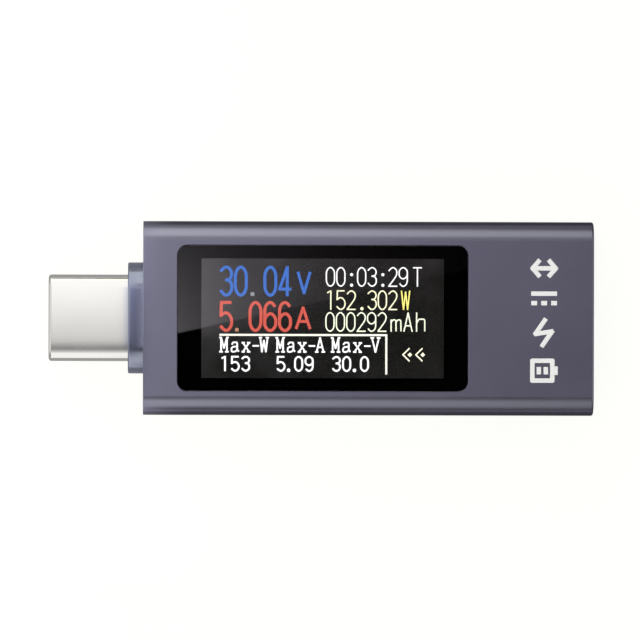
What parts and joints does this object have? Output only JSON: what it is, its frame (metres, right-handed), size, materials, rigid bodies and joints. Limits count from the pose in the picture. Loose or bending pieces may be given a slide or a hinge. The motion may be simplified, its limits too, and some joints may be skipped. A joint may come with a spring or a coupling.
{
  "type": "usb power meter",
  "caption": "In-line USB power meter: flat aluminium bar with a USB-C plug on one end, a socket on the other, a flush glass screen on top and a button on one edge.",
  "frame": {"origin": "under the middle of the whole meter, on its flat back", "axes": "+X from the plug towards the socket, +Y towards the top of the readout, +Z out of the screen"},
  "size_m": [0.0518, 0.0184, 0.0084],
  "materials": {
    "anodised_aluminium": "bead-blasted and anodised violet-grey, satin",
    "button_plastic": "moulded, matt",
    "switch_plastic": "moulded",
    "steel_sheet": "stamped sheet",
    "nickel_steel": "drawn shell, nickel plated, polished",
    "lens_glass": "polished",
    "mask_ink": "black print under the glass",
    "black_tape": "double-sided tape",
    "gasket_foam": "closed-cell foam",
    "polariser_film": "smoked film",
    "cell_glass": "ground edges",
    "backlight_plastic": "moulded light guide in a white frame",
    "silicon": "polished die",
    "flex_film": "polyimide over copper",
    "holder_plastic": "moulded, matt",
    "solder_mask": "solder mask over glass laminate",
    "insulating_film": "polyester film",
    "chip_plastic": "moulded, matt",
    "tin": "tinned",
    "shunt_alloy": "bare resistance alloy",
    "ferrite": "pressed ferrite",
    "chip_ceramic": "fired ceramic",
    "connector_plastic": "liquid crystal polymer",
    "gold_plate": "gold flash over nickel"
  },
  "bodies": {
    "meter": {"capacitor_bodies": "chip_ceramic", "capacitor_terminals": "tin", "case_tube": "anodised_aluminium", "clock_crystal": "steel_sheet", "controller_chip": "chip_plastic", "controller_leads": "tin", "current_shunt": "shunt_alloy", "display_backlight": "backlight_plastic", "display_cover_glass": "cell_glass", "display_driver_chip": "silicon", "display_flex": "flex_film", "display_gasket": "gasket_foam", "display_holder": "holder_plastic", "display_polariser": "polariser_film", "display_rear_polariser": "polariser_film", "display_tft_glass": "cell_glass", "front_cap": "anodised_aluminium", "insulating_sheet": "insulating_film", "lens_mask": "mask_ink", "lens_tape": "black_tape", "main_board": "solder_mask", "memory_chip": "chip_plastic", "plug_contacts_lower": "gold_plate", "plug_contacts_upper": "gold_plate", "plug_ground_strips": "steel_sheet", "plug_latch": "steel_sheet", "plug_lining": "connector_plastic", "plug_shell": "nickel_steel", "power_inductor": "ferrite", "rear_cap": "anodised_aluminium", "resistor_bodies": "chip_plastic", "resistor_terminals": "tin", "screen_lens": "lens_glass", "sense_amplifier": "chip_plastic", "shunt_terminals": "tin", "small_chip_leads": "tin", "socket_contacts_lower": "gold_plate", "socket_contacts_upper": "gold_plate", "socket_insulator": "connector_plastic", "socket_mid_plate": "steel_sheet", "socket_shell": "nickel_steel", "socket_shield": "steel_sheet", "switch_base": "switch_plastic", "switch_cover": "steel_sheet", "switch_dome": "steel_sheet", "voltage_regulator": "chip_plastic"},
    "button": {"button_cap": "button_plastic", "switch_stem": "switch_plastic"}
  },
  "joints": [
    {"name": "button_press", "type": "slide", "parent": "meter", "child": "button", "axis": [0, 1, 0], "range_m": [0, 0.00025], "stiffness_N_per_m": 4000, "springref_m": -0.0001, "deforming": ["switch_dome"]}
  ]
}
